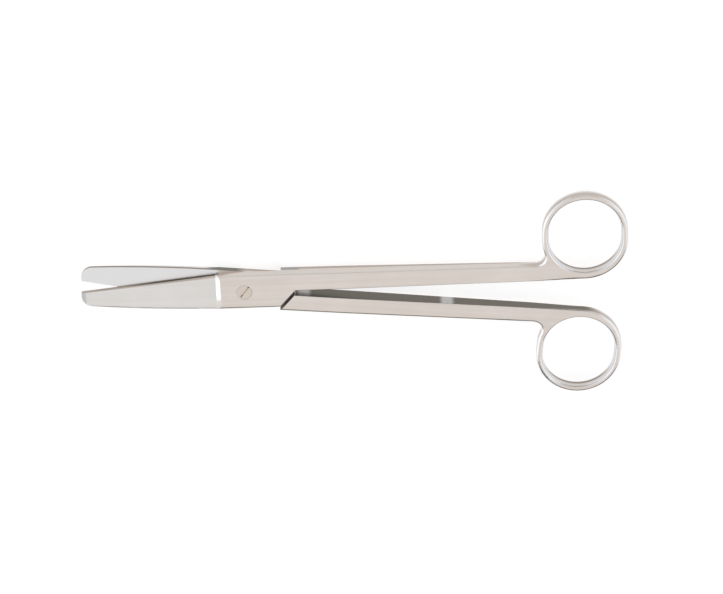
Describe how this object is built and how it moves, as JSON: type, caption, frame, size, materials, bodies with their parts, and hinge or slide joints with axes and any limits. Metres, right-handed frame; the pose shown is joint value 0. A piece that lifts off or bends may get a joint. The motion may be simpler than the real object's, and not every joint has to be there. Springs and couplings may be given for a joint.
{
  "type": "surgical scissors",
  "caption": "Straight surgical scissors with blunt tips, a lap joint held by a flush slotted pivot screw, long shanks and two oval finger rings.",
  "frame": {"origin": "on the pivot axis, in the plane of the joint's lower face, on which the scissors lie", "axes": "+X along the line midway between the two halves, from the pivot to the finger rings; +Z along the pivot axis, up through the screw's slotted head"},
  "size_m": [0.2025, 0.0838, 0.0068],
  "materials": {
    "steel_top": "satin ground stainless steel, polished rings",
    "steel_bottom": "satin ground stainless steel, polished rings",
    "steel_screw": "ground flush with the joint, satin"
  },
  "bodies": {
    "lower": {"bottom_half": "steel_bottom", "pivot_screw": "steel_screw"},
    "upper": {"top_half": "steel_top"}
  },
  "joints": [
    {"name": "pivot", "type": "hinge", "parent": "lower", "child": "upper", "pos_m": [0, 0, 0.0034], "axis": [0, 0, 1], "range_deg": [-5.9, 115]}
  ]
}
